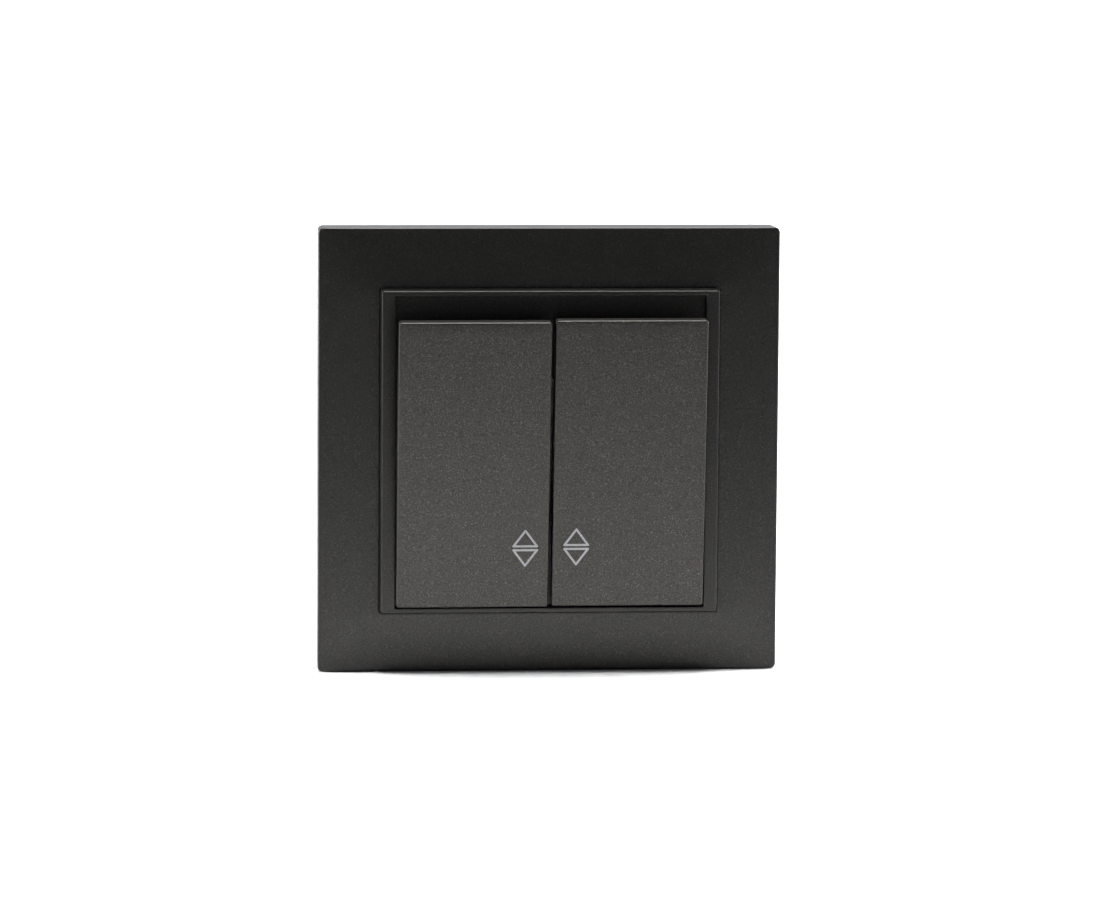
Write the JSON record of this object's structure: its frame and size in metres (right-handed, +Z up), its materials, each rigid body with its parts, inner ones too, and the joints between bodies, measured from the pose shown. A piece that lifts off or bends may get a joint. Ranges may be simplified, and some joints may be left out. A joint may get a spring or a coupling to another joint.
{
  "type": "double rocker switch",
  "caption": "Double rocker wall switch: square cover frame, tilting keys with printed changeover marks, and a screw-terminal mechanism on a steel strap for a round wall box.",
  "frame": {"origin": "midpoint of the box screws, in the plane of the wall and of the strap's back face", "axes": "+X to the right seen from the room, +Y into the wall, +Z up; the keys face -Y"},
  "size_m": [0.083, 0.0449, 0.0802],
  "materials": {
    "anthracite_frame": "satin anthracite lacquer with fine metallic flecks",
    "anthracite_key": "satin anthracite lacquer with fine metallic flecks",
    "silver_print": "thin printed ink, light bluish grey",
    "white_plastic": "moulded white plastic",
    "grey_plastic": "moulded pale grey plastic",
    "zinc_steel": "zinc plated sheet steel",
    "plated_screws": "zinc plated steel screws",
    "spring_steel": "drawn steel wire",
    "brass": "stamped brass strip",
    "silver_contact": "silver rivet contact"
  },
  "bodies": {
    "root": {"cover_frame": "anthracite_frame", "trim_ring": "anthracite_frame", "mounting_strap": "zinc_steel", "mechanism_cover": "white_plastic", "housing_base": "grey_plastic", "terminal_screws": "plated_screws", "wire_clamps": "zinc_steel", "fixed_contacts_left": "silver_contact", "common_strip_left": "brass", "traveller_strip_left_upper": "brass", "traveller_strip_left_lower": "brass", "fixed_contacts_right": "silver_contact", "common_strip_right": "brass", "traveller_strip_right_upper": "brass", "traveller_strip_right_lower": "brass"},
    "rocker_left": {"rocker_left": "anthracite_key", "mark_left": "silver_print", "cradle_left": "white_plastic", "spring_left": "spring_steel"},
    "plunger_left": {"plunger_left": "white_plastic"},
    "blade_left": {"contact_blade_left": "brass", "moving_contacts_left": "silver_contact"},
    "rocker_right": {"rocker_right": "anthracite_key", "mark_right": "silver_print", "cradle_right": "white_plastic", "spring_right": "spring_steel"},
    "plunger_right": {"plunger_right": "white_plastic"},
    "blade_right": {"contact_blade_right": "brass", "moving_contacts_right": "silver_contact"}
  },
  "joints": [
    {"name": "rocker_left_tilt", "type": "hinge", "parent": "root", "child": "rocker_left", "pos_m": [-0.01095, 0.0025, 0], "axis": [1, 0, 0], "range_deg": [-13, 0]},
    {"name": "plunger_left_slide", "type": "slide", "parent": "rocker_left", "child": "plunger_left", "axis": [0, -0.9936, -0.1132], "range_m": [0, 0.0008], "stiffness_N_per_m": 400, "springref_m": -0.002, "deforming": ["spring_left"]},
    {"name": "blade_left_rock", "type": "hinge", "parent": "root", "child": "blade_left", "pos_m": [-0.01095, 0.01476, 0], "axis": [1, 0, 0], "range_deg": [0, 14]},
    {"name": "rocker_right_tilt", "type": "hinge", "parent": "root", "child": "rocker_right", "pos_m": [0.01095, 0.0025, 0], "axis": [1, 0, 0], "range_deg": [-11.4, 0]},
    {"name": "plunger_right_slide", "type": "slide", "parent": "rocker_right", "child": "plunger_right", "axis": [0, -0.9951, -0.0993], "range_m": [0, 0.0008], "stiffness_N_per_m": 400, "springref_m": -0.002, "deforming": ["spring_right"]},
    {"name": "blade_right_rock", "type": "hinge", "parent": "root", "child": "blade_right", "pos_m": [0.01095, 0.01476, 0], "axis": [1, 0, 0], "range_deg": [0, 14]}
  ],
  "couplings": [
    {"joint": "blade_left_rock", "follows": "rocker_left_tilt", "ratio": -1.0769},
    {"joint": "blade_right_rock", "follows": "rocker_right_tilt", "ratio": -1.2281}
  ]
}
